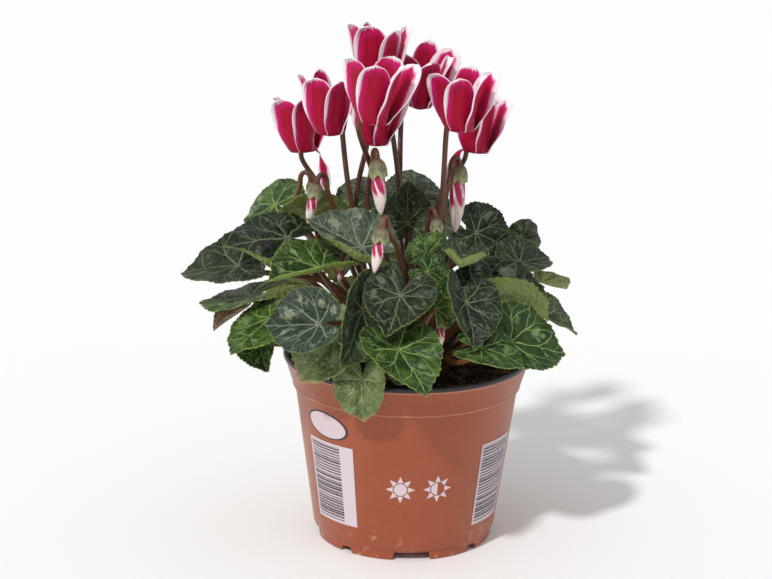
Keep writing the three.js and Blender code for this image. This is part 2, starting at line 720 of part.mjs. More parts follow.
LEAVES.forEach((row, i) => {
  const others = everything.filter((other) => other !== bladeObstacles[i]);
  const curve = leafStalk(bladeSheets[i], row, others, bladeObstacles[i]);
  crownParts.push(stem(curve, 6, LEAF_STALK_RADIUS));
});

const upright = new THREE.Matrix4();
addPiece('pot', makePot(), upright, '#a25b41', 0.6);
addPiece('soil', makeSoil(toManifold(cormBody(GAP))), upright, '#33241c', 1);
addPiece('crown', fuse(crownParts), upright, '#6d4a3a', 0.7);
bladeSheets.forEach((s, i) => {
  const blade = thicken(s.points, s.normals, s.triangles, s.rim, BLADE_THICKNESS);
  addPiece(`leaf_${String(i + 1).padStart(2, '0')}`, blade, s.frame.matrix, '#3f6b3a', 0.6);
});
BLOOMS.forEach((bloom, i) => {
  addPiece(`bloom_${i + 1}`, bloomBody(petals[i]), bloomFrame(bloom), '#b8105f', 0.6);
});
budBodies.forEach((body, i) => addPiece(`bud_${i + 1}`, body, budFrame(BUDS[i]).matrix, '#d8699c', 0.6));

export default group;
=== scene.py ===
# Potted cyclamen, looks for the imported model. Sizes in the settings are millimetres and degrees.
import bpy
from math import atan2, cos, degrees, exp, hypot, pi, radians, sin, sqrt
import random
from mathutils import Matrix, Vector, noise


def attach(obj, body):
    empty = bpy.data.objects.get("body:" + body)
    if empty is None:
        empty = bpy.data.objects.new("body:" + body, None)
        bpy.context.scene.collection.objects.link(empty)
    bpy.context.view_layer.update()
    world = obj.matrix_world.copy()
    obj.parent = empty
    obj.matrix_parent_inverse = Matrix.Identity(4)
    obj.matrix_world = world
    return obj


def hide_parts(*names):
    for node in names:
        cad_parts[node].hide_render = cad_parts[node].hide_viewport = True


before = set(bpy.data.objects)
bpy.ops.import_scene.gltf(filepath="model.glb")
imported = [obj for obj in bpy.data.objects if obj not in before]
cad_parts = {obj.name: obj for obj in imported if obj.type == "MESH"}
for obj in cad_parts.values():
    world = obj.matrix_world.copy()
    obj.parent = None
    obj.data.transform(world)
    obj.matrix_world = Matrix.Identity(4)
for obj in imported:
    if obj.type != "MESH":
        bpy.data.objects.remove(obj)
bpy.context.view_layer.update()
scene = bpy.context.scene
mm = 0.001
up = Vector((0, 0, 1))
print("frame loaded:", len(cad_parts), "nodes")


# small things that every piece uses

def clearSelection():
    if bpy.context.object and bpy.context.object.mode != "OBJECT":
        bpy.ops.object.mode_set(mode="OBJECT")
    bpy.ops.object.select_all(action="DESELECT")


def takeHold(piece):
    clearSelection()
    piece.select_set(True)
    bpy.context.view_layer.objects.active = piece


def applyModifiers(piece):
    takeHold(piece)
    for modifier in list(piece.modifiers):
        bpy.ops.object.modifier_apply(modifier=modifier.name)


def editAll(piece):
    takeHold(piece)
    bpy.ops.object.mode_set(mode="EDIT")
    bpy.ops.mesh.select_all(action="SELECT")


def weld(piece, distance=0.01 * mm, outward=True):
    editAll(piece)
    bpy.ops.mesh.remove_doubles(threshold=distance)
    if outward:
        bpy.ops.mesh.normals_make_consistent(inside=False)
    bpy.ops.object.mode_set(mode="OBJECT")


def smoothShade(piece, angle=None):
    takeHold(piece)
    if angle is None:
        bpy.ops.object.shade_smooth()
    else:
        bpy.ops.object.shade_smooth_by_angle(angle=radians(angle))


def joinPieces(pieces, name):
    clearSelection()
    for piece in pieces:
        piece.select_set(True)
    bpy.context.view_layer.objects.active = pieces[0]
    if len(pieces) > 1:
        bpy.ops.object.join()
    joined = bpy.context.object
    joined.name = name
    joined.data.name = name
    return joined


def hangOn(piece, slotName, *nodes):
    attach(piece, "root")
    if nodes:
        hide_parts(*nodes)


def gridSheet(name, columns, rows, place):
    # a flat grid is added, then each of its points is laid where place says
    clearSelection()
    bpy.ops.mesh.primitive_grid_add(x_subdivisions=columns, y_subdivisions=rows, size=2)
    sheet = bpy.context.object
    sheet.name = name
    sheet.data.name = name
    for vertex in sheet.data.vertices:
        vertex.co = place((vertex.co.x + 1) / 2, (vertex.co.y + 1) / 2)
    return sheet


def paintWith(piece, *materials):
    piece.data.materials.clear()
    for material in materials:
        piece.data.materials.append(material)


def thicken(piece, thickness, **settings):
    # a sheet becomes a body, half to each side unless the settings say otherwise
    body = piece.modifiers.new("body", "SOLIDIFY")
    body.thickness = thickness * mm
    body.offset = 0
    for name, value in settings.items():
        setattr(body, name, value)
    applyModifiers(piece)


def writeMark(piece, name, values):
    mark = piece.data.attributes.new(name, "FLOAT_VECTOR", "POINT")
    mark.data.foreach_set("vector", [number for value in values for number in value])


def spinProfile(name, profile, steps):
    # the half section is drawn as edges, then spun about the upright axis
    mesh = bpy.data.meshes.new(name)
    points = [(0, -radius * mm, height * mm) for radius, height in profile]
    mesh.from_pydata(points, [(i, i + 1) for i in range(len(points) - 1)], [])
    piece = bpy.data.objects.new(name, mesh)
    scene.collection.objects.link(piece)
    editAll(piece)
    bpy.ops.mesh.spin(steps=steps, angle=2 * pi, center=(0, 0, 0), axis=(0, 0, 1))
    weld(piece)
    return piece


def onPlan(turn, reach, height):
    # turn 0 faces the viewer, and grows to the viewer's right
    angle = radians(turn)
    return Vector((reach * sin(angle), -reach * cos(angle), height))


def soft(value, low, high):
    part = min(1, max(0, (value - low) / (high - low)))
    return part * part * (3 - 2 * part)


def alongPoints(points, share):
    # the place at this share of the way down a list of points
    spot = share * (len(points) - 1)
    low = min(int(spot), len(points) - 2)
    return [start + (end - start) * (spot - low) for start, end in zip(points[low], points[low + 1])]


# materials are built from fields: numbers and colours that vary over a surface

class Field:
    # an output of a node, and sums with it add more nodes
    def __init__(self, socket):
        self.socket = socket
        self.tree = socket.id_data

    def __add__(self, other):
        return calc("ADD", self, other)

    def __sub__(self, other):
        return calc("SUBTRACT", self, other)

    def __rsub__(self, other):
        return calc("SUBTRACT", other, self)

    def __mul__(self, other):
        return calc("MULTIPLY", self, other)

    def __truediv__(self, other):
        return calc("DIVIDE", self, other)

    def __gt__(self, other):
        return calc("GREATER_THAN", self, other)

    def __lt__(self, other):
        return calc("LESS_THAN", self, other)

    def __abs__(self):
        return calc("ABSOLUTE", self)


def feed(socket, value):
    if isinstance(value, Field):
        value.tree.links.new(value.socket, socket)
    else:
        socket.default_value = value


def addNode(kind, inputs, **settings):
    # at least one of the inputs is a field, and the node joins its tree
    tree = next(value.tree for value in inputs.values() if isinstance(value, Field))
    node = tree.nodes.new("ShaderNode" + kind)
    for name, value in settings.items():
        setattr(node, name, value)
    for spot, value in inputs.items():
        feed(node.inputs[spot], value)
    return node


def calc(operation, *values, hold=False):
    node = addNode("Math", dict(enumerate(values)), operation=operation, use_clamp=hold)
    return Field(node.outputs[0])


def ease(value, low, high, start=0, end=1):
    inputs = dict(enumerate((value, low, high, start, end)))
    return Field(addNode("MapRange", inputs, interpolation_type="SMOOTHSTEP").outputs[0])


def mixed(share, first, second):
    return Field(addNode("Mix", {0: share, 6: first, 7: second}, data_type="RGBA").outputs[2])


def layered(colour, *layers):
    # each layer is how much of it shows, then its colour
    for share, paint in layers:
        colour = mixed(share, colour, paint)
    return colour


def joinXyz(x, y, z):
    return Field(addNode("CombineXYZ", {0: x, 1: y, 2: z}).outputs[0])


def splitXyz(vector):
    return [Field(socket) for socket in addNode("SeparateXYZ", {0: vector}).outputs]


def cloud(where, scale, detail=3, roughness=0.5, output="Fac"):
    inputs = {"Vector": where, "Scale": scale, "Detail": detail, "Roughness": roughness}
    return Field(addNode("TexNoise", inputs).outputs[output])


def cells(where, scale, feature="F1"):
    # the distance to a cell and, unless it is that to an edge, the colour of the cell
    outputs = addNode("TexVoronoi", {"Vector": where, "Scale": scale}, feature=feature).outputs
    return [Field(outputs[name]) for name in ("Distance", "Color") if name in outputs]


def chanceAt(value):
    # one even random number for each value
    return Field(addNode("TexWhiteNoise", {"W": value}, noise_dimensions="1D").outputs["Value"])


def markOn(tree, name):
    # the three numbers of a mark that was written on the points of a piece
    node = tree.nodes.new("ShaderNodeAttribute")
    node.attribute_name = name
    return splitXyz(Field(node.outputs["Vector"]))


def objectPlace(tree):
    return Field(tree.nodes.new("ShaderNodeTexCoord").outputs["Object"])


def tint(red, green, blue):
    def straight(level):
        level = level / 255
        return level / 12.92 if level <= 0.04045 else ((level + 0.055) / 1.055) ** 2.4
    return (straight(red), straight(green), straight(blue), 1)


def tints(**colours):
    return {name: tint(*levels) for name, levels in colours.items()}


def newMaterial(name, **sockets):
    material = bpy.data.materials.new(name)
    material.use_nodes = True
    shader = material.node_tree.nodes["Principled BSDF"]
    for socket, value in sockets.items():
        shader.inputs[socket.replace("_", " ")].default_value = value
    return material, material.node_tree


def dress(material, colour, height=None, depth=0, strength=0, roughness=None):
    # the colour, a relief and a roughness that varies go to the shader
    shader = material.node_tree.nodes["Principled BSDF"]
    feed(shader.inputs["Base Color"], colour)
    if height is not None:
        bump = addNode("Bump", {"Strength": strength, "Distance": depth, "Height": height})
        feed(shader.inputs["Normal"], Field(bump.outputs[0]))
    if roughness is not None:
        feed(shader.inputs["Roughness"], roughness)
    return material


def twoTone(name, roughness, colours, spots, grain, depth, strength, edges=(0.35, 0.65)):
    # soft spots of the second colour on the first, and a fine grain
    material, tree = newMaterial(name, Roughness=roughness)
    place = objectPlace(tree)
    colour = mixed(ease(cloud(place, *spots), *edges), *colours)
    return dress(material, colour, cloud(place, *grain), depth, strength)


# camera, light and floor

cameraSettings = {
    "target": (0, 0, 120), "distance": 1089, "elevation": 15.48, "roll": 1.21,
    "lens": 110.1, "shift": (-0.0291, -0.0069),
}
lightSettings = {"sun": (-0.33, -0.62, 0.71), "power": 1.95, "angle": 4, "world": 0.6}
floorSettings = {"size": 8, "under": 0.2, "grey": (0.94, 0.94, 0.94, 1), "white": (0.97, 0.97, 0.97, 1)}


def placeCamera():
    lift = radians(cameraSettings["elevation"])
    distance = cameraSettings["distance"] * mm
    target = Vector(cameraSettings["target"]) * mm
    place = target + Vector((0, -cos(lift), sin(lift))) * distance
    bpy.ops.object.camera_add(location=place)
    camera = bpy.context.object
    tilt = Matrix.Rotation(pi / 2 - lift, 3, "X")
    roll = Matrix.Rotation(radians(cameraSettings["roll"]), 3, "Z")
    camera.rotation_euler = (tilt @ roll).to_euler()
    camera.data.sensor_width = 36
    camera.data.lens = cameraSettings["lens"]
    camera.data.shift_x, camera.data.shift_y = cameraSettings["shift"]
    scene.camera = camera


def placeLights():
    place = Vector(lightSettings["sun"])
    aim = (-place).to_track_quat("-Z", "Y").to_euler()
    bpy.ops.object.light_add(type="SUN", location=place * 2, rotation=aim)
    lamp = bpy.context.object
    lamp.name = "keyLight"
    lamp.data.energy = lightSettings["power"]
    lamp.data.angle = radians(lightSettings["angle"])
    world = bpy.data.worlds.new("studio")
    world.use_nodes = True
    background = world.node_tree.nodes["Background"]
    background.inputs["Color"].default_value = (1, 1, 1, 1)
    background.inputs["Strength"].default_value = lightSettings["world"]
    scene.world = world
    scene.view_settings.view_transform = "Standard"


def layFloor():
    clearSelection()
    level = -floorSettings["under"] * mm
    bpy.ops.mesh.primitive_plane_add(size=floorSettings["size"], location=(0, 0, level))
    floor = bpy.context.object
    floor.name = "studioFloor"
    material, tree = newMaterial("paleFloor", Roughness=0.9, Specular_IOR_Level=0.1)
    grain = cloud(objectPlace(tree), 6)
    paintWith(floor, dress(material, mixed(grain, floorSettings["grey"], floorSettings["white"])))


clearSelection()
placeCamera()
placeLights()
layFloor()
print("camera, lights and floor placed")


# the pot

potSettings = {
    "rimRadius": 57.5, "height": 88, "bandBottom": 72.5, "footHeight": 5.2, "footRadius": 40.9,
    "wallFoot": 42.5, "wallSlope": 0.138, "lip": 85.6, "notches": 8, "firstNotch": 5.5,
    "wideNotch": (8, 3.9), "smallNotch": (2.5, 2.8),
    **tints(
        clay=(152, 73, 41), clayPale=(160, 81, 49), inside=(22, 22, 24), insideDust=(58, 52, 50),
        # line is the paler colour of the painted highlight along the raised band and lip lines
        dust=(214, 178, 160), scuff=(212, 160, 138), line=(214, 150, 124), print=(214, 196, 202),
        printWorn=(212, 190, 196), paperWorn=(210, 196, 204), ink=(36, 32, 36), inkWorn=(58, 52, 58)),
}


def wallRadius(height):
    return potSettings["wallFoot"] + (height - potSettings["footHeight"]) * potSettings["wallSlope"]


def clayPlastic():
    material, tree = newMaterial(
        "clayPlastic", Sheen_Weight=0.08, Sheen_Roughness=0.4, Sheen_Tint=tint(255, 225, 210),
        Specular_IOR_Level=0.42)
    place = objectPlace(tree)
    x, y, z = splitXyz(place)
    speckle = cloud(place, 1500, 2, 0.7)
    patch = cloud(place, 45, 4, 0.6)
    # dust from the bench lies low on the wall
    dusty = ease(z, 0.004, 0.02, 1, 0) * ease(cloud(place, 160, 5, 0.75), 0.56, 0.68)
    scuff = ease(cloud(joinXyz(x * 4, y * 4, z), 70), 0.7, 0.74)
    colour = layered(
        mixed(ease(speckle * 0.55 + patch * 0.45, 0.38, 0.62), potSettings["clay"], potSettings["clayPale"]),
        (dusty * 0.55, potSettings["dust"]), (scuff * 0.12, potSettings["scuff"]))
    # a paler line is painted along the raised lines under the band and under the lip: a painted highlight
    # where they catch the light
    for level in (potSettings["bandBottom"] + 0.8, potSettings["lip"] - 0.3):
        line = ease(abs(z - level * mm), 0.0002, 0.0006, 0.5, 0)
        colour = mixed(line, colour, potSettings["line"])
    return dress(material, colour, speckle + patch * 0.6, 0.00012, 0.5, ease(patch, 0.3, 0.7, 0.3, 0.4))


def blackPlastic():
    colours = potSettings["inside"], potSettings["insideDust"]
    return twoTone("blackPlastic", 0.38, colours, (220, 4, 0.7), (1400, 2), 0.0001, 0.5, (0.5, 0.75))


def footCutters():
    # a wedge for each notch: wide notches a quarter turn apart and small ones between
    cutters = []
    for number in range(potSettings["notches"]):
        halfWidth, height = potSettings["smallNotch" if number % 2 else "wideNotch"]
        turn = potSettings["firstNotch"] + number * 360 / potSettings["notches"]
        out, beside = onPlan(turn, 1, 0), onPlan(turn + 90, 1, 0)
        clearSelection()
        bpy.ops.mesh.primitive_cube_add(size=1, location=(0, 0, 0))
        cutter = bpy.context.object
        for vertex in cutter.data.vertices:
            side, depth, level = vertex.co
            wide = halfWidth + (0 if level > 0 else 1.5)
            spot = out * (potSettings["footRadius"] - 1 + depth * 9) + beside * side * 2 * wide
            vertex.co = Vector((spot.x, spot.y, height if level > 0 else -3)) * mm
        cutters.append(cutter)
    cutter = joinPieces(cutters, "footCutter")
    weld(cutter)
    return cutter


def potProfile():
    # the half section from the floor's middle, up the outside, over the lip and down inside
    foot, band, rim = potSettings["footRadius"], potSettings["bandBottom"], potSettings["rimRadius"]
    height, ledge = potSettings["height"], wallRadius(band)
    profile = [(0, 0), (7.6, 0), (8, 0.4), (8, 4.9), (8.4, 5.2)]
    profile += [(foot + wide, level) for wide, level in (
        (-2.6, 5.2), (-2.2, 4.8), (-2.2, 0.4), (-1.9, 0.05), (-0.4, 0), (0, 0.3), (0.4, 4), (0.7, 4.8),
        (1.4, 5.3), (1.7, 5.9))]
    profile += [(ledge + wide, band + level) for wide, level in (
        (-0.05, -0.4), (0.1, -0.1), (0.8, 0.2), (1.15, 0.45), (1.35, 0.8), (1.2, 1.2), (1.35, 1.8))]
    profile += [(rim + wide, height + level) for wide, level in (
        (-1.1, -3.4), (-0.7, -2.9), (-0.45, -2.5), (-0.5, -2.35), (-0.35, -2.1), (-0.05, -1.6), (0, -1),
        (-0.2, -0.4), (-0.7, 0), (-1.3, 0), (-1.9, -0.4), (-2.4, -1.1), (-2.9, -2))]
    profile += [(ledge + wide, band + level) for wide, level in ((-0.1, 2.6), (-0.7, 1.6), (-1.4, 0))]
    return profile + [(foot + 0.5, 7.6), (foot + 0.1, 6.9), (foot - 0.8, 6.6), (0, 6.6)]


def makePot():
    pot = spinProfile("pot_shell", potProfile(), 160)
    cutter = footCutters()
    takeHold(pot)
    notch = pot.modifiers.new("notches", "BOOLEAN")
    notch.object = cutter
    notch.operation = "DIFFERENCE"
    notch.solver = "EXACT"
    bpy.ops.object.modifier_apply(modifier="notches")
    bpy.data.objects.remove(cutter)
    paintWith(pot, clayPlastic(), blackPlastic())
    # the inner side is black, from the lip down to the floor
    for face in pot.data.polygons:
        middle = face.center
        inward = face.normal.x * middle.x + face.normal.y * middle.y < 0
        level = middle.z / mm
        overFloor = hypot(middle.x, middle.y) / mm < potSettings["footRadius"]
        inner = level > potSettings["lip"] + 0.02 or (level > 6.5 and inward) or (level > 6.4 and overFloor)
        face.material_index = int(inner)
    smoothShade(pot, 28)
    hangOn(pot, "pot", "pot")


def onWall(turn, height, proud=0.15):
    return onPlan(turn, wallRadius(height) + proud, height) * mm


def wallDegrees(length, height):
    return degrees(length / wallRadius(height))


labelSettings = {
    "left": {"turn": (-61.5, -28.6), "level": (14.6, 54.2), "seed": 3, "barShare": 0.78, "bars": 29},
    "right": {"turn": (45.5, 74), "level": (14, 54.5), "seed": 11, "barShare": 1, "bars": 27},
    "oval": {"turn": -45.6, "level": 62.7, "half": (13, 6.3), "tilt": -5,
             "edgeProud": 0.12, "fieldProud": 0.2, "fieldShare": 0.9},
    "suns": {"turn": (-2.1, 18.7), "level": 36.5, "disc": 3, "ray": (3.4, 6.7), "rayWidth": 2.7,
             "rays": 8},
    "film": 0.08,
}


def printedPaper(name, label):
    material, tree = newMaterial(name, Roughness=0.45)
    across, along, _ = markOn(tree, "label")
    # bars of random width that stand for nothing, inside a plain margin
    spaced = along * label["bars"]
    width = chanceAt(calc("FLOOR", spaced) + label["seed"]) * 0.5 + 0.38
    bar = calc("FRACT", spaced) < width
    bar = bar * (across > 0.045) * (across < label["barShare"] - 0.05) * (along > 0.03) * (along < 0.97)
    place = objectPlace(tree)
    worn = ease(cloud(place, 600, 3, 0.7), 0.35, 0.75, 0.85, 1)
    paper = mixed(cloud(place, 300), potSettings["print"], potSettings["paperWorn"])
    return dress(material, mixed(bar * worn, paper, potSettings["ink"]), cloud(place, 900, 2), 0.00006, 0.4)


def plainPrint(name, paint):
    colours = potSettings[paint], potSettings[paint + "Worn"]
    return twoTone(name, 0.45, colours, (700, 4, 0.7), (900, 2), 0.00006, 0.4)


def finishPatch(patch):
    # a printed film is a shallow skin that follows the wall
    mesh = patch.data
    out = sum(face.normal.x * face.center.x + face.normal.y * face.center.y for face in mesh.polygons)
    if out < 0:
        mesh.flip_normals()
    thicken(patch, labelSettings["film"], offset=-1)
    smoothShade(patch, 40)
    hangOn(patch, "pot")


def makeBarLabel(side):
    label = labelSettings[side]
    low, high = label["turn"]
    bottom, top = label["level"]
    marks = []

    def labelPoint(u, v):
        marks.append((u, v, 0))
        return onWall(low + (high - low) * u, bottom + (top - bottom) * v)

    patch = gridSheet("label_" + side, 24, 16, labelPoint)
    writeMark(patch, "label", marks)
    paintWith(patch, printedPaper("barPrint" + side, label))
    finishPatch(patch)


def makeOval(name, grow, proud, paint):
    oval = labelSettings["oval"]
    tilt = radians(oval["tilt"])

    def ovalPoint(u, v):
        angle = 2 * pi * u
        across = oval["half"][0] * grow * v * cos(angle)
        rise = oval["half"][1] * grow * v * sin(angle)
        side = across * cos(tilt) - rise * sin(tilt)
        level = oval["level"] + across * sin(tilt) + rise * cos(tilt)
        return onWall(oval["turn"] + wallDegrees(side, level), level, proud)

    patch = gridSheet(name, 72, 8, ovalPoint)
    paintWith(patch, paint)
    weld(patch, outward=False)
    finishPatch(patch)


def makeSun(number, turn, half, paint):
    suns = labelSettings["suns"]
    inner, outer = suns["ray"]

    def onSun(side, rise):
        level = suns["level"] + rise
        return onWall(turn + wallDegrees(side, level), level)

    def discPoint(u, v):
        angle = pi * (0.5 + u) if half else 2 * pi * u
        return onSun(suns["disc"] * v * cos(angle), suns["disc"] * v * sin(angle))

    parts = [gridSheet("sunDisc", 40, 5, discPoint)]
    for ray in range(suns["rays"]):
        heading = 2 * pi * ray / suns["rays"]

        def rayPoint(u, v):
            reach = inner + (outer - inner) * v
            beside = (u - 0.5) * suns["rayWidth"] * (1 - v)
            side = reach * cos(heading) - beside * sin(heading)
            return onSun(side, reach * sin(heading) + beside * cos(heading))

        parts.append(gridSheet("sunRay", 3, 5, rayPoint))
    sun = joinPieces(parts, "sun_mark_%d" % number)
    paintWith(sun, paint)
    weld(sun, outward=False)
    finishPatch(sun)


def makeLabels():
    lilac, outline = plainPrint("lilacPrint", "print"), plainPrint("inkPrint", "ink")
    for side in ("left", "right"):
        makeBarLabel(side)
    oval = labelSettings["oval"]
    makeOval("oval_edge", 1, oval["edgeProud"], outline)
    makeOval("oval_field", oval["fieldShare"], oval["fieldProud"], lilac)
    for number, turn in enumerate(labelSettings["suns"]["turn"], 1):
        makeSun(number, turn, number == 2, lilac)


makePot()
makeLabels()
print("pot and its printed marks made")


# the compost

soilSettings = {
    "radius": 51.6, "edgeLevel": 77.4, "middleLevel": 79.6, "top": 78, "clods": 330, "clodReach": 50.4,
    "fibres": 170, "fibreReach": 49.5, "fibreLimit": 50.8, "rings": 54,
    **tints(peat=(30, 22, 15), crumb=(74, 50, 32), fibre=(128, 92, 58)),
}


def peat():
    material, tree = newMaterial("peat", Roughness=0.95, Specular_IOR_Level=0.15)
    place = objectPlace(tree)
    crumbDistance, crumbColour = cells(place, 520)
    big = cloud(place, 180, 6, 0.7)
    pale = splitXyz(crumbColour)[0] > 0.93
    colour = mixed(ease(big, 0.42, 0.7), soilSettings["peat"], soilSettings["crumb"])
    colour = mixed(pale * 0.5, colour, soilSettings["fibre"])
    return dress(material, colour, big - crumbDistance * 0.6, 0.0016, 1)


def strawBits():
    colours = soilSettings["crumb"], soilSettings["fibre"]
    return twoTone("strawBits", 0.8, colours, (160,), (1800,), 0.0003, 0.7)


def soilLevel(x, y):
    radius = hypot(x, y)
    level = soilSettings["edgeLevel"]
    level += (soilSettings["middleLevel"] - level) * soft(1 - radius / soilSettings["radius"], 0, 0.9)
    lumps = noise.noise(Vector((x * 0.09, y * 0.09, 3.1))) * 1.1
    lumps += noise.noise(Vector((x * 0.26, y * 0.26, 7.7))) * 0.8
    lumps += noise.noise(Vector((x * 0.7, y * 0.7, 1.7))) * 0.35
    return level + lumps * soft(soilSettings["radius"] - radius, 0, 4)


def makeBed(paint):
    # the underside, the side up the pot's wall and then rings over the top
    top, rings = soilSettings["top"], soilSettings["rings"]
    profile = [(0, 7.4), (39.6, 7.4), (40.2, 8)] + [(40.2 + 1.2 * i, 8 + 8 * i) for i in range(1, 9)]
    profile += [(soilSettings["radius"] * (1 - i / rings), top) for i in range(rings)] + [(0, top)]
    bed = spinProfile("soil_bed", profile, 150)
    for vertex in bed.data.vertices:
        if vertex.co.z > (top - 0.1) * mm:
            vertex.co.z = soilLevel(vertex.co.x / mm, vertex.co.y / mm) * mm
    paintWith(bed, paint)
    smoothShade(bed, 60)
    hangOn(bed, "soil", "soil")


def spotOnSoil(chance, limit):
    reach = limit * sqrt(chance.random())
    return onPlan(chance.uniform(0, 360), reach, 0)


def makeCrumbs(chance, paint):
    clods = []
    clearSelection()
    bpy.ops.mesh.primitive_ico_sphere_add(subdivisions=2, radius=1)
    pattern = bpy.context.object
    for vertex in pattern.data.vertices:
        vertex.co *= 0.78 + 0.4 * noise.noise(vertex.co * 1.7)
    for _ in range(soilSettings["clods"]):
        spot = spotOnSoil(chance, soilSettings["clodReach"])
        size = chance.choice((0.5, 0.7, 0.9, 1.2, 1.6))
        clod = pattern.copy()
        clod.data = pattern.data.copy()
        scene.collection.objects.link(clod)
        spin = Matrix.Rotation(chance.uniform(0, 6), 4, "Z") @ Matrix.Rotation(chance.uniform(0, 6), 4, "X")
        squash = Matrix.Diagonal((size, size * chance.uniform(0.6, 1), size * chance.uniform(0.45, 0.8), 1))
        shift = Matrix.Translation((spot.x, spot.y, soilLevel(spot.x, spot.y) + size * 0.2))
        clod.data.transform(Matrix.Scale(mm, 4) @ shift @ spin @ squash)
        clods.append(clod)
    bpy.data.objects.remove(pattern)
    crumbs = joinPieces(clods, "soil_crumbs")
    paintWith(crumbs, paint)
    smoothShade(crumbs)
    hangOn(crumbs, "soil")


def makeFibres(chance):
    straws = []
    limit = soilSettings["fibreLimit"]
    for _ in range(soilSettings["fibres"]):
        spot, length = spotOnSoil(chance, soilSettings["fibreReach"]), chance.uniform(2.5, 7)
        heading, bowed, thick = chance.uniform(0, 6.3), chance.uniform(-0.9, 0.9), chance.uniform(0.14, 0.34)

        def strawPoint(u, v):
            along = (v - 0.5) * length
            bend = bowed * (along / length) ** 2 * 4
            x = spot.x + along * cos(heading) - bend * sin(heading)
            y = spot.y + along * sin(heading) + bend * cos(heading)
            inside = min(1, limit / hypot(x, y))
            angle = 2 * pi * u
            fine = thick * (0.15 if v in (0, 1) else 1)
            x = x * inside - sin(heading) * cos(angle) * fine
            y = y * inside + cos(heading) * cos(angle) * fine
            return Vector((x, y, soilLevel(x, y) + 0.25 + sin(angle) * fine)) * mm

        straws.append(gridSheet("straw", 5, 5, strawPoint))
    fibres = joinPieces(straws, "soil_fibres")
    paintWith(fibres, strawBits())
    weld(fibres, 0.004 * mm)
    smoothShade(fibres)
    hangOn(fibres, "soil")


soilChance, peatPaint = random.Random(41), peat()
makeBed(peatPaint)
makeCrumbs(soilChance, peatPaint)
makeFibres(soilChance)
print("compost laid")


# stalks, corm and hooks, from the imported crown

stemSettings = {
    "grow": 0.33,
    **tints(
        brown=(99, 54, 28), dark=(61, 30, 17), olive=(103, 71, 33), pink=(133, 84, 51), corm=(52, 34, 24)),
}


def stalkSkin():
    material, tree = newMaterial("stalkSkin", Roughness=0.42)
    place = objectPlace(tree)
    x, y, z = splitXyz(place)
    streak = cloud(joinXyz(x, y, z * 0.12), 900, 3, 0.6)
    patch = cloud(place, 38, 3, 0.6)
    # leaf stalks are paler, and most of what stands low and wide is one
    spread = calc("SQRT", x * x + y * y)
    outer = ease(spread * 1.7 - (z - 0.085), -0.012, 0.03)
    colour = layered(
        mixed(ease(streak, 0.35, 0.68), stemSettings["dark"], stemSettings["brown"]),
        (ease(patch, 0.5, 0.66) * 0.6, stemSettings["olive"]),
        (outer * 0.75, mixed(streak, stemSettings["pink"], stemSettings["olive"])),
        (ease(z, 0.083, 0.098, 1, 0) * 0.7, stemSettings["corm"]))
    return dress(material, colour, streak, 0.0003, 0.5)


def makeStalks():
    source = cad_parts["crown"]
    stalks = source.copy()
    stalks.data = source.data.copy()
    stalks.name = "stalks_fine"
    scene.collection.objects.link(stalks)
    editAll(stalks)
    bpy.ops.mesh.remove_doubles(threshold=0.005 * mm)
    bpy.ops.mesh.tris_convert_to_quads(face_threshold=radians(50), shape_threshold=radians(60))
    bpy.ops.mesh.normals_make_consistent(inside=False)
    bpy.ops.object.mode_set(mode="OBJECT")
    rounding = stalks.modifiers.new("round", "SUBSURF")
    rounding.levels = 2
    rounding.render_levels = 2
    swell = stalks.modifiers.new("swell", "DISPLACE")
    swell.strength = stemSettings["grow"] * mm
    swell.mid_level = 0
    applyModifiers(stalks)
    paintWith(stalks, stalkSkin())
    smoothShade(stalks)
    print("stalks:", len(stalks.data.polygons), "faces")
    hangOn(stalks, "stem", "crown")


makeStalks()
print("stalks rounded")


# the leaves

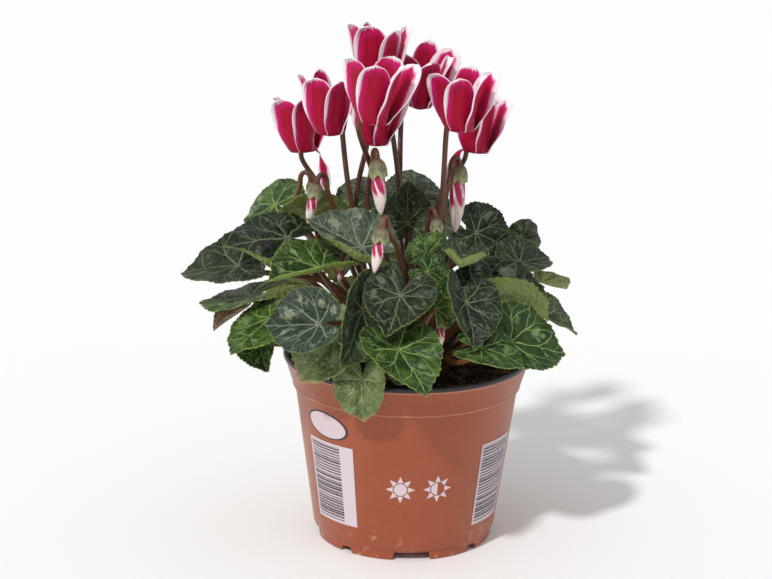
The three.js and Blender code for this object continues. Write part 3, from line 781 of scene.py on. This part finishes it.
# turn, reach, height, size, face turn, face tilt, heading, fold, bend, finish
leafRows = [
    (-112, 68, 150, 24, -42, 52, -84, 5, 45, "bright"), (-98, 45, 151, 24, 192, 42, 179, 0, 20, "mid"),
    (-72, 58, 145, 31, 25, 57, -92, -12, 15, "dark"), (-31, 41, 146, 28, 34, 54, -134, 22, -6, "silver"),
    (-79, 79, 131, 31, -36, 66, -73, 17, 15, "dark"), (-43, 57, 138, 29, 26, 82, -78, 24, 4, "bright"),
    (-31, 75, 119, 28, -38, 24, -76, 36, -15, "silver"), (-76, 74, 118, 27, -90, 70, -21, 2, -5, "bright"),
    (-56, 74, 114, 27, -51, 65, 7, 0, 6, "bright"), (-63, 75, 101, 18, -35, 40, 43, 30, 0, "bright"),
    (-31, 62, 108.5, 26, -8, 37, -39, 22, 40, "pale"), (-19, 61, 124, 29, 50, 8, -38, 20, -5, "dark"),
    (-3, 62, 132, 25, 0, 50, -15, 14, 5, "dark"), (-3, 74, 111, 28, 22, 63, 9, 17, 14, "bright"),
    (-18, 63, 92.5, 20, -16, 17, 3, 25, 40, "pale"), (27, 56, 126, 25, 45, 42, -22, 28, 0, "dark"),
    (14, 32, 142, 15, 25, 24, 130, -25, 0, "bright"), (11, 43, 138, 14, 22, 37, 60, 8, 34, "bright"),
    (107, 32, 143, 22, 30, 20, 62, 18, 10, "dark"), (33, 45, 144, 17, 20, 72, -31, 20, -20, "dark"),
    (90, -1, 149, 21, 5, 36, 178, 30, -10, "dark"), (175, 29, 154, 26, 22, 57, 163, -9, 29, "mid"),
    (58, 44, 119.5, 33, 36, 72, 70, 64, 36, "dark"), (100, 52, 129, 21, 42, 63, 91, 25, 7, "dark"),
    (108, 65, 117, 20, 152, 62, -18, 17, -20, "mid"), (92, 64, 105.5, 21, 71, 55, 38, 23, 13, "mid"),
    (49, 61, 105, 29, 25, 45, 76, 22, 22, "bright"), (29, 68, 108, 21, 14, 68, 68, 10, 40, "bright"),
    (122, 62, 135, 14, 36, 30, 93, 35, 29, "mid"), (-98, 69, 126, 14, -62, 15, -76, 33, -7, "bright"),
    (-1, 58, 98, 10, -17, 15, -28, 30, 30, "mid"), (-90, 78, 105, 17, -60, 43, -35, 43, 0, "withered"),
    (13, 55, 124, 16, 60, 25, 165, 30, 10, "bright"), (-136, 29, 155, 22, 10, 61, 174, 0, 32, "mid"),
    (146, 50, 134, 32, 148, 49, 5, 12, 20, "dark"), (180, 60, 113, 33, 180, 45, -12, 14, 22, "bright"),
    (-153, 52, 130.5, 34, -150, 45, 8, 10, 20, "bright"), (-125, 60, 110, 31, -126, 42, -6, 14, 24, "bright"),
    (140, 62, 106, 31, 138, 38, 10, 12, 26, "dark"), (-162, 60, 97, 30, -163, 32, 4, 12, 28, "dark"),
    (177, 50, 141, 31, 178, 54, -6, 10, 18, "dark"),
]
leafSettings = {
    "thickness": 0.55, "teeth": 42, "toothDepth": 0.08, "lobes": 12, "lobeDepth": 0.026, "rows": 14,
    "veinGap": 45,
    "specks": {"bright": 0.12, "mid": 0.2, "silver": 0.5, "dark": 0.45, "pale": 0.2, "withered": 0.1},
    **tints(dust=(205, 205, 195), dryTip=(186, 128, 102), core=(112, 84, 44), underVein=(150, 150, 104)),
    # leaves whose near margin turns up and shows its underside
    "rolled": {3: 0.2, 4: 0.17, 6: 0.07, 13: 0.14, 20: 0.26, 27: 0.05},
    "finishes": {
        "bright": tints(
            deep=(25, 52, 17), light=(90, 118, 45), vein=(146, 172, 100), blotch=(142, 164, 110),
            rim=(140, 162, 72), under=(166, 183, 98)),
        "mid": tints(
            deep=(34, 50, 26), light=(80, 100, 54), vein=(136, 152, 106), blotch=(132, 146, 110),
            rim=(128, 150, 74), under=(166, 183, 105)),
        "silver": tints(
            deep=(49, 63, 50), light=(109, 122, 99), vein=(148, 160, 136), blotch=(162, 169, 141),
            rim=(124, 146, 80), under=(166, 183, 112)),
        "dark": tints(
            deep=(21, 32, 17), light=(57, 69, 41), vein=(114, 130, 96), blotch=(112, 126, 102),
            rim=(112, 136, 64), under=(163, 183, 105)),
        "pale": tints(
            deep=(83, 99, 54), light=(146, 160, 109), vein=(156, 166, 126), blotch=(146, 154, 124),
            rim=(144, 162, 86), under=(159, 173, 103)),
        "withered": tints(
            deep=(112, 82, 58), light=(168, 132, 98), vein=(92, 66, 50), blotch=(160, 134, 102),
            rim=(128, 98, 68), under=(150, 118, 86)),
    },
}


def bladeMarks():
    # veins, blotches and rim are drawn from the flat place of each point on its blade
    tree = bpy.data.node_groups.new("bladeMarks", "ShaderNodeTree")
    across, along, reach = markOn(tree, "blade")
    seed, light, silver = markOn(tree, "grade")
    flat = joinXyz(across, along, seed * 9)
    warpX, warpY, _ = splitXyz(cloud(flat, 2.6, 2, 0.5, "Color"))
    keep = ease(reach, 0, 0.3)
    acrossBent = ((warpX - 0.5) * 0.17 + across) * keep + across * (1 - keep)
    alongBent = ((warpY - 0.5) * 0.17 + along) * keep + along * (1 - keep)
    # beat counts the main veins round from the midrib, and between is 0 on a vein and 1 halfway
    beat = calc("ARCTAN2", acrossBent, alongBent) / radians(leafSettings["veinGap"])
    beatSize = abs(beat)
    between = calc("PINGPONG", beatSize, 0.5) * 2
    chance = chanceAt(calc("ROUND", beatSize) + ((beat > 0) * 7 + seed * 31))
    radius = calc("SQRT", across * across + along * along)
    wide = radius * 0.393
    thick = 0.0145 - reach * 0.0075

    def line(gap, share):
        edge = thick * share
        return ease(gap * wide, edge * 0.45, edge * 1.5, 1, 0)

    veins = line(between, 1.1) * (1 - (beatSize > 0.5) * ease(reach, 0.6, 0.78))
    # each main vein throws a branch, and further out a fork that meets its neighbour
    begin = chance * 0.2 + 0.36
    run = calc("POWER", calc("DIVIDE", reach - begin, 0.93 - begin, hold=True), 0.75) * 0.98
    branch = line(abs(between - run), 0.8) * (reach > begin) * ease(reach, 0.9, 0.97, 1, 0)
    begin = chance * 0.1 + 0.64
    run = calc("DIVIDE", reach - begin, 0.42, hold=True) * 0.62
    fork = line(abs(between - run), 0.6) * (reach > begin)
    meet = line(1 - between, 0.5) * ease(reach, 0.84, 0.88)
    for other, share in ((branch, 0.9), (fork, 0.75), (meet, 0.7)):
        veins = calc("MAXIMUM", veins, other * share)
    bent = joinXyz(acrossBent, alongBent, seed * 9)
    netDistance = cells(bent, 8.5, "DISTANCE_TO_EDGE")[0]
    band = ease(reach, 0.42, 0.58) * ease(reach, 0.74, 0.88, 1, 0)
    smudge = ease(cloud(bent, 5.5, 2), 0.52, 0.62)
    patchy = ease(cloud(flat, 7, 2), 0.35, 0.65, 0.25, 1)
    dotDistance, dotColour = cells(flat, 46)
    few = splitXyz(dotColour)[0] > 0.8
    puff = ease(between, 0, 0.9) * ease(radius, 0, 0.5)
    marks = {
        "veins": veins,
        "net": ease(netDistance, 0, 0.07, 1, 0),
        "blotch": band * smudge * ease(between, 0.3, 0.65) * silver,
        "rim": ease(reach, 0.966, 0.996) * patchy,
        "mottle": cloud(bent, 3.4, 6, 0.62),
        "specks": few * ease(dotDistance, 0.1, 0.24, 1, 0),
        "core": ease(radius, 0.012, 0.042, 1, 0),
        "swell": puff + ease(netDistance, 0, 0.35) * 0.45 - veins * 0.25,
        "light": light,
        "tip": ease(reach, 0.9, 0.99) * ease(beatSize, 0.3, 0.7, 1, 0),
    }
    for name in marks:
        tree.interface.new_socket(name=name, in_out="OUTPUT", socket_type="NodeSocketFloat")
    end = tree.nodes.new("NodeGroupOutput")
    for name, value in marks.items():
        feed(end.inputs[name], value)
    return tree


def leafSkins(name, finish, marks):
    # two materials for a blade: its upper side with the edge, and its underside
    skins = []
    for part, gloss in (("Upper", 0.36), ("Under", 0.5)):
        material, tree = newMaterial(name + part, Specular_IOR_Level=0.28)
        group = tree.nodes.new("ShaderNodeGroup")
        group.node_tree = marks
        out = {socket.name: Field(socket) for socket in group.outputs}
        lightness = out["mottle"] * 1.5 + (out["light"] - 1.1)
        if part == "Upper":
            height = out["swell"]
            specks = out["specks"] * leafSettings["specks"][name]
            colour = layered(
                mixed(ease(lightness, 0, 0.75), finish["deep"], finish["light"]),
                (out["net"] * 0.07, finish["vein"]), (out["blotch"] * 0.62, finish["blotch"]),
                (out["veins"] * 0.78, finish["vein"]), (specks, leafSettings["dust"]),
                (out["rim"] * 0.7, finish["rim"]))
            if name == "pale":
                colour = mixed(out["tip"] * 0.7, colour, leafSettings["dryTip"])
        else:
            height = out["swell"] * -1
            darker = tuple(0.62 * level for level in finish["under"][:3]) + (1,)
            colour = layered(
                mixed(ease(lightness, 0, 0.9), darker, finish["under"]),
                (out["veins"] * 0.5, leafSettings["underVein"]), (out["net"] * 0.2, darker),
                (out["rim"] * 0.6, finish["rim"]))
        colour = mixed(out["core"] * 0.85, colour, leafSettings["core"])
        roughness = out["mottle"] * 0.28 + (gloss - 0.1) + out["veins"] * 0.08
        grain = cloud(objectPlace(tree), 1900, 2, 0.6)
        skins.append(dress(material, colour, grain * 0.12 + height, 0.0011, 0.75, roughness))
    return skins


def bladeEdge(angle):
    size = abs(angle)
    return (0.66 + 0.34 * exp(-size / 30)) * (1 - 0.93 * exp(-((180 - size) / 15) ** 2))


def bladePoint(row, index, across, along):
    size, fold, bend = row[3], radians(row[7]), row[8]
    curl = radians(bend) / size
    if abs(curl) < 1e-4:
        curl = 1e-4
    radius, angle = hypot(across, along), atan2(across, along)
    crease = hypot(across, 0.06 * size) - 0.06 * size
    wave = 0.03 * size * (radius / size) ** 2 * sin(3 * angle + index)
    ruffle = 0.02 * size * (radius / size) ** 4 * sin(11 * angle + 2 * index)
    ruffle += 0.012 * size * (radius / size) ** 6 * sin(23 * angle + index)
    # the blade swells between its main veins
    pleat = 0.5 - 0.5 * cos(2 * pi * degrees(angle) / leafSettings["veinGap"])
    pleat *= 0.022 * size * min(1, 1.6 * radius / size)
    rise = crease * sin(fold) + wave + ruffle + pleat
    return Vector((
        across * cos(fold),
        sin(curl * along) / curl + rise * sin(curl * along),
        -(1 - cos(curl * along)) / curl + rise * cos(curl * along),
    ))


def bladeFrame(row):
    faceTilt, heading = radians(row[5]), radians(row[6])
    face = onPlan(row[4], cos(faceTilt), sin(faceTilt))
    down = (face * face.z - up).normalized()
    right = face.cross(down)
    along = down * cos(heading) + right * sin(heading)
    side = along.cross(face)
    return onPlan(*row[:3]), side, along, face


def makeLeaf(index, row, skins):
    chance = random.Random(100 + index)
    size = row[3]
    middle, side, along, face = bladeFrame(row)
    teeth, lobes = leafSettings["teeth"], leafSettings["lobes"]
    shift = chance.random()
    rolled = leafSettings["rolled"].get(index + 1, 0)
    marks = []

    def place(u, v):
        angle = -177 + 354 * u
        part = v ** 0.85
        saw = (teeth * u + shift) % 1
        uneven = 0.75 + 0.6 * noise.noise(Vector((angle * 0.07, index * 3.3, 0.5)))
        bite = leafSettings["toothDepth"] * (1 - saw if saw > 0.34 else saw * 2) * uneven
        wavy = leafSettings["lobeDepth"] * (0.5 - 0.5 * cos(radians(angle) * lobes))
        edge = bladeEdge(angle) * size * (1 - (wavy + bite) * part ** 6)
        bearing = radians(angle)
        flatAcross, flatAlong = edge * part * sin(bearing), edge * part * cos(bearing)
        marks.append((flatAcross / size, flatAlong / size, part))
        local = bladePoint(row, index, flatAcross, flatAlong)
        radial = side * sin(bearing) + along * cos(bearing)
        lift = rolled * size * max(0, (part - 0.76) / 0.24) ** 1.5 * soft(-radial.y, 0.25, 0.8)
        spot = middle + side * local.x + along * local.y + face * (local.z + lift)
        return (spot - radial * lift * 0.4) * mm

    leaf = gridSheet("blade_%02d" % (index + 1), teeth * 4, leafSettings["rows"], place)
    writeMark(leaf, "blade", marks)
    grade = (chance.random(), chance.uniform(0.35, 0.65), chance.uniform(0.5, 1.1))
    writeMark(leaf, "grade", [grade] * len(marks))
    weld(leaf, outward=False)
    tilt = sum(face.dot(polygon.normal) * polygon.area for polygon in leaf.data.polygons)
    if tilt < 0:
        leaf.data.flip_normals()
    paintWith(leaf, *skins)
    thicken(leaf, leafSettings["thickness"], material_offset=1, material_offset_rim=0)
    smoothShade(leaf, 50)
    hangOn(leaf, "leaf_withered" if row[9] == "withered" else "leaf", "leaf_%02d" % (index + 1))


leafMarks = bladeMarks()
leafFinishes = {name: leafSkins(name, finish, leafMarks) for name, finish in leafSettings["finishes"].items()}
for index, row in enumerate(leafRows):
    makeLeaf(index, row, leafFinishes[row[9]])
print("leaves made:", len(leafRows))


# the flowers

# mouth, lean right and back, stalk side, flare, petal length, hanging petal
bloomRows = [
    ((-49.5, 18, 178), (-5, 4), -167, 6, 26, 3), ((-36, -11, 193), (-2, -3), 142, 8, 27.5, -1),
    ((-17, -36, 203), (7, 0), -133, 11, 29, -1), ((-15.5, 9, 210.4), (2, 3), 150, 8, 29, -1),
    ((-16.5, -11, 188.5), (3, 0), -152, 8, 25, -1), ((3, 31, 198.5), (7, -12), -115, 10, 28, -1),
    ((21.5, -20, 197.5), (1, -2), -130, 10, 27, -1), ((29.5, 18, 179.5), (5, 3), -149, 6, 26, 0),
]
petalSettings = {
    "mouth": 5.6, "thickness": 0.4, "twist": -22, "halfWidth": 7.7, "columns": 18, "rows": 26,
    "usualLength": 29, "widest": 0.62, "firstTurn": 66, "turnStep": 57, "strapLength": 0.8,
    **tints(
        deep=(146, 3, 38), main=(182, 6, 58), bright=(212, 28, 118), white=(246, 234, 240),
        throatDeep=(120, 2, 44), throat=(172, 10, 70)),
    # the throat as radius and height, from inside the flower over the mouth's rim and in again
    "tube": [(0.02, 6.3), (2, 6.1), (3, 5.2), (3.9, 4.3), (4.8, 3.2), (5.5, 2.1), (5.95, 1), (6.15, 0.1),
             (5.9, -0.25), (5.4, -0.2), (4.9, 0.8), (4.2, 2.2), (3.3, 3.6), (2.2, 4.4), (0.02, 4.7)],
    # how much further each petal of a flower opens
    "opening": (0, 2, -3, 3, -1),
}


def petalSkin():
    material, tree = newMaterial(
        "petalSkin", Roughness=0.55, Sheen_Weight=0.06, Sheen_Roughness=0.35, Specular_IOR_Level=0.18)
    across, along, seed = markOn(tree, "petal")
    streak = cloud(joinXyz(across * (along * 6 + 7), along * 1.5, seed * 40), 1, 5, 0.74)
    fine = cloud(joinXyz(across * 24, along * 2, seed), 1, 3, 0.6)
    border = calc("MINIMUM", 1 - abs(across), (1 - along) * 2.8)
    width = ease(across, -0.1, 0.7, 0.05, 0.25) * ease(along, 0.08, 0.7, 0.12, 1.1)
    # a petal that shows its inner face has a far wider white border
    width = width * ease(seed, 0.49, 0.51, 1, 1.45)
    ragged = (streak - 0.5) * -0.62 + border
    white = ease(ragged, width * 0.5, width + 0.05, 1, 0)
    white = calc("MAXIMUM", white, ease(border, 0.015, 0.055, 0.85, 0))
    colour = layered(
        mixed(ease(fine, 0.36, 0.64), petalSettings["deep"], petalSettings["main"]),
        (ease(ragged, width * 0.9, width + 0.5, 0.85, 0), petalSettings["bright"]),
        (ease(along, 0, 0.35, 0.55, 0), petalSettings["deep"]), (white, petalSettings["white"]))
    return dress(material, colour, fine + streak * 0.5, 0.0003, 0.5)


def throatSkin():
    colours = petalSettings["throatDeep"], petalSettings["throat"]
    return twoTone("throatSkin", 0.5, colours, (420, 4, 0.6), (900,), 0.0003, 0.5)


def bloomFrame(row):
    mouth, lean = row[0], row[1]
    turned = Matrix.Rotation(radians(-lean[1]), 4, "X") @ Matrix.Rotation(radians(lean[0]), 4, "Y")
    return Matrix.Translation(mouth) @ turned


def petalPath(flare, length, hanging):
    # middle line of a petal as reach and height
    steps = 60
    reach, height = petalSettings["mouth"], 0
    path = [(reach, height)]
    for number in range(steps):
        at = (number + 0.5) / steps
        if hanging:
            fold = 178 - 88 * exp(-at / 0.12)
        else:
            fold = flare + 5 * at + (70 - flare) * exp(-at / 0.035)
        reach += length / steps * sin(radians(fold))
        height += length / steps * cos(radians(fold))
        path.append((reach, height))
    return path


def makePetal(place, turn, flare, length, hanging, seed):
    path = petalPath(flare, length, hanging)
    out, beside = onPlan(turn, 1, 0), onPlan(turn + 90, 1, 0)
    marks = []
    chance = random.Random(seed)
    lift = chance.uniform(0, 6.28)
    bothWhite = sin(radians(turn)) > 0.45
    full = petalSettings["halfWidth"] * length / petalSettings["usualLength"]
    widest = petalSettings["widest"]

    def petalPoint(u, part):
        reach, height = alongPoints(path, part)
        growth = sin(min(part / widest, 1) * pi / 2)
        narrow = 1.6 + 1.4 * growth if hanging else 0.43 * full + 0.57 * full * growth
        rounded = max(0, 1 - ((part - widest) / 0.381) ** 2.6) ** 0.46 if part > widest else 1
        half = narrow * rounded
        bow = 5.5 + 14 * part
        turned = 3.5 * min(1, 2.2 * part) if hanging else min(1, 0.3 + 3 * part)
        twist = radians(petalSettings["twist"] * turned)
        across = beside * cos(twist) + out * sin(twist)
        inward = beside * sin(twist) - out * cos(twist)
        side = 2 * u - 1
        flute = 0.35 * part * side * side * sin(9 * part + lift + 2 * side)
        # the margin that faces the next petal rolls back
        roll = 2.2 * soft(-side, 0.45, 1) * soft(part, 0.15, 0.5) * (0 if hanging else 1)
        spotted = out * reach + up * height + across * side * half
        spotted += inward * (side * side * half * half / (2 * bow) + flute - roll)
        marks.append((abs(side) if bothWhite else -side, part, seed % 17 / 34 + (0.5 if bothWhite else 0)))
        return place @ spotted * mm

    petal = gridSheet("petal", petalSettings["columns"], petalSettings["rows"], petalPoint)
    writeMark(petal, "petal", marks)
    return petal


def makeThroat(name, place, paint):
    def throatPoint(u, v):
        radius, height = alongPoints(petalSettings["tube"], v)
        # five shallow flutes round the mouth
        radius *= 1 + 0.05 * cos(radians(1800 * u)) * soft(radius, 3, 6)
        return place @ onPlan(360 * u, radius, height) * mm

    throat = gridSheet(name, 50, 28, throatPoint)
    weld(throat)
    paintWith(throat, paint)
    smoothShade(throat, 60)
    return throat


def makeFlower(number, row, petalPaint, throatPaint):
    stalkSide, flare, length, hanging = row[2:]
    place = bloomFrame(row)
    petals = []
    for count, extra in enumerate(petalSettings["opening"]):
        turn = stalkSide + petalSettings["firstTurn"] + petalSettings["turnStep"] * count
        strap = count == hanging
        reach = length * (petalSettings["strapLength"] if strap else 1)
        petals.append(makePetal(place, turn, flare + extra, reach, strap, 17 * number + 5 * count))
    layer = joinPieces(petals, "petals_%d" % number)
    paintWith(layer, petalPaint)
    thicken(layer, petalSettings["thickness"])
    smoothShade(layer, 60)
    throat = makeThroat("throat_%d" % number, place, throatPaint)
    for piece in (layer, throat):
        hangOn(piece, "petal", "bloom_%d" % number)


petalPaint, throatPaint = petalSkin(), throatSkin()
for number, row in enumerate(bloomRows, 1):
    makeFlower(number, row, petalPaint, throatPaint)
print("flowers made:", len(bloomRows))


# the buds, and the sepals over buds and flowers

# top under the hook, tip
budRows = [
    ((-15, -26, 183.5), (-13, -26, 159)), ((22, 2, 175.7), (21, 2, 144.7)),
    ((-42, -17, 170), (-46, -17, 152)), ((-12, -57, 160.5), (-15, -59, 141)),
    ((-30, -31, 138), (-31, -32, 129)), ((12, -15, 154.5), (13, -16, 138)),
    ((15, -46, 117), (15, -48, 105)), ((-46, 14, 164), (-46, 14, 152)),
]
budSettings = {
    # the furled petals as radius and part of the length
    "rings": [(0.3, -0.06), (1.9, 0), (2.6, 0.12), (3, 0.26), (3.1, 0.4), (2.95, 0.55), (2.6, 0.7),
              (1.9, 0.84), (1.15, 0.94), (0.3, 1)],
    # the cup of sepals over a bud, and over a flower, as radius and height
    "budCup": [(0.05, 0.9), (1.35, 0.75), (2.3, -0.2), (3, -1.3), (3.5, -2.5), (3.75, -3.6), (3.7, -4.7)],
    "flowerCup": [(0.05, 9.1), (1.2, 8.9), (2, 8.1), (2.5, 7.3), (2.9, 6.4), (3.3, 5.6), (3.7, 5)],
    # the length of the five points of a cup, and how far they close in
    "budPoints": (2.3, 0.2), "flowerPoints": (1.9, -1.1), "sepalThickness": 0.3, "furl": 2.4,
    **tints(
        cream=(240, 226, 214), blush=(232, 176, 196), magenta=(180, 14, 84), sepal=(122, 124, 88),
        sepalBrown=(96, 74, 60), sepalEdge=(168, 174, 124), sepalRib=(70, 48, 36)),
}


def budSkin():
    material, tree = newMaterial("budSkin", Roughness=0.45, Sheen_Weight=0.15)
    around, along, seed = markOn(tree, "furl")
    fold = calc("FRACT", around * 5)
    streak = cloud(joinXyz(fold * 5, along * 2.2, seed * 30), 1, 4, 0.65)
    # each furled petal is rose down its middle, and less so towards the tip
    middle = ease(along, 0.2, 0.72, 1, 0) * ease(abs(fold - 0.5), 0.2, 0.46, 1, 0)
    rose = middle + (streak - 0.5) * 0.9
    colour = mixed(ease(rose, 0, 0.35), budSettings["cream"], budSettings["blush"])
    colour = mixed(ease(rose, 0.2, 0.42), colour, budSettings["magenta"])
    return dress(material, colour, streak, 0.0002, 0.5)


def sepalSkin():
    material, tree = newMaterial("sepalSkin", Roughness=0.55)
    around, along, _ = markOn(tree, "sepal")
    blot = cloud(objectPlace(tree), 520, 4, 0.7)
    brown = calc("MAXIMUM", ease(blot, 0.42, 0.6, 0, 0.8), ease(along, 0.2, 0.62, 0.9, 0))
    lobe = abs(calc("FRACT", around * 5) - 0.5)
    rib = ease(lobe, 0, 0.05, 0.6, 0)
    edge = calc("MAXIMUM", ease(along, 0.6, 0.95), ease(lobe, 0.44, 0.49, 0, 0.5))
    colour = layered(
        mixed(brown, budSettings["sepal"], budSettings["sepalBrown"]),
        (rib, budSettings["sepalRib"]), (edge * 0.6, budSettings["sepalEdge"]))
    return dress(material, colour, blot - rib, 0.0003, 0.6)


def budFrame(top, tip):
    rise = (Vector(top) - Vector(tip)).normalized()
    return Matrix.Translation(top) @ up.rotation_difference(rise).to_matrix().to_4x4()


def ringAt(rings, part):
    for (wide0, part0), (wide1, part1) in zip(rings, rings[1:]):
        if part <= part1:
            share = (part - part0) / (part1 - part0)
            return wide0 + (wide1 - wide0) * share
    return rings[-1][0]


def makeBud(number, top, tip, paint):
    place = budFrame(top, tip)
    length = (Vector(top) - Vector(tip)).length
    scale = min(1.12, length / 25)
    marks = []

    def furlPoint(u, v):
        part = -0.06 + 1.06 * v
        radius = ringAt(budSettings["rings"], part) * scale
        swirl = budSettings["furl"] * max(part, 0)
        fold = (5 * u) % 1
        lip = 0.10 * (1 - fold) * soft(part, 0, 0.2) * soft(1 - part, 0, 0.25)
        radius *= 0.97 + lip - 0.05 * soft(fold, 0.85, 1)
        angle = degrees(2 * pi * u + swirl)
        marks.append((u, part, number / 9))
        return place @ onPlan(angle, radius, -3 - (length - 3) * part) * mm

    bud = gridSheet("furled_%d" % number, 80, 26, furlPoint)
    writeMark(bud, "furl", marks)
    weld(bud)
    paintWith(bud, paint)
    smoothShade(bud, 55)
    hangOn(bud, "bud", "bud_%d" % number)


def makeSepals(name, place, scale, kind, paint):
    # a cup of five pointed sepals, closed at its top
    rings = budSettings[kind + "Cup"]
    lobeLength, closeIn = budSettings[kind + "Points"]
    marks = []

    def sepalPoint(u, v):
        lobe = abs((5 * u) % 1 - 0.5) * 2
        pointed = (1 - lobe ** 1.4) * soft(v, 0.45, 1)
        radius, height = alongPoints(rings, v)
        radius -= closeIn * pointed
        radius *= 1 + 0.06 * (1 - lobe) * soft(v, 0.1, 0.5) - 0.05 * soft(lobe, 0.8, 1)
        marks.append((u, v, 0))
        return place @ (onPlan(360 * u, radius, height - lobeLength * pointed) * scale) * mm

    cup = gridSheet(name, 60, 14, sepalPoint)
    writeMark(cup, "sepal", marks)
    weld(cup, outward=False)
    thicken(cup, budSettings["sepalThickness"])
    paintWith(cup, paint)
    weld(cup, 0.001 * mm)
    smoothShade(cup, 60)
    hangOn(cup, "stem")


budPaint, sepalPaint = budSkin(), sepalSkin()
for number, (top, tip) in enumerate(budRows, 1):
    makeBud(number, top, tip, budPaint)
    scale = min(1.1, (Vector(top) - Vector(tip)).length / 20)
    makeSepals("calyx_%d" % number, budFrame(top, tip), scale, "bud", sepalPaint)
for number, row in enumerate(bloomRows, 1):
    makeSepals("cup_%d" % number, bloomFrame(row), 1, "flower", sepalPaint)
print("buds and sepals made")

print("sizes written")
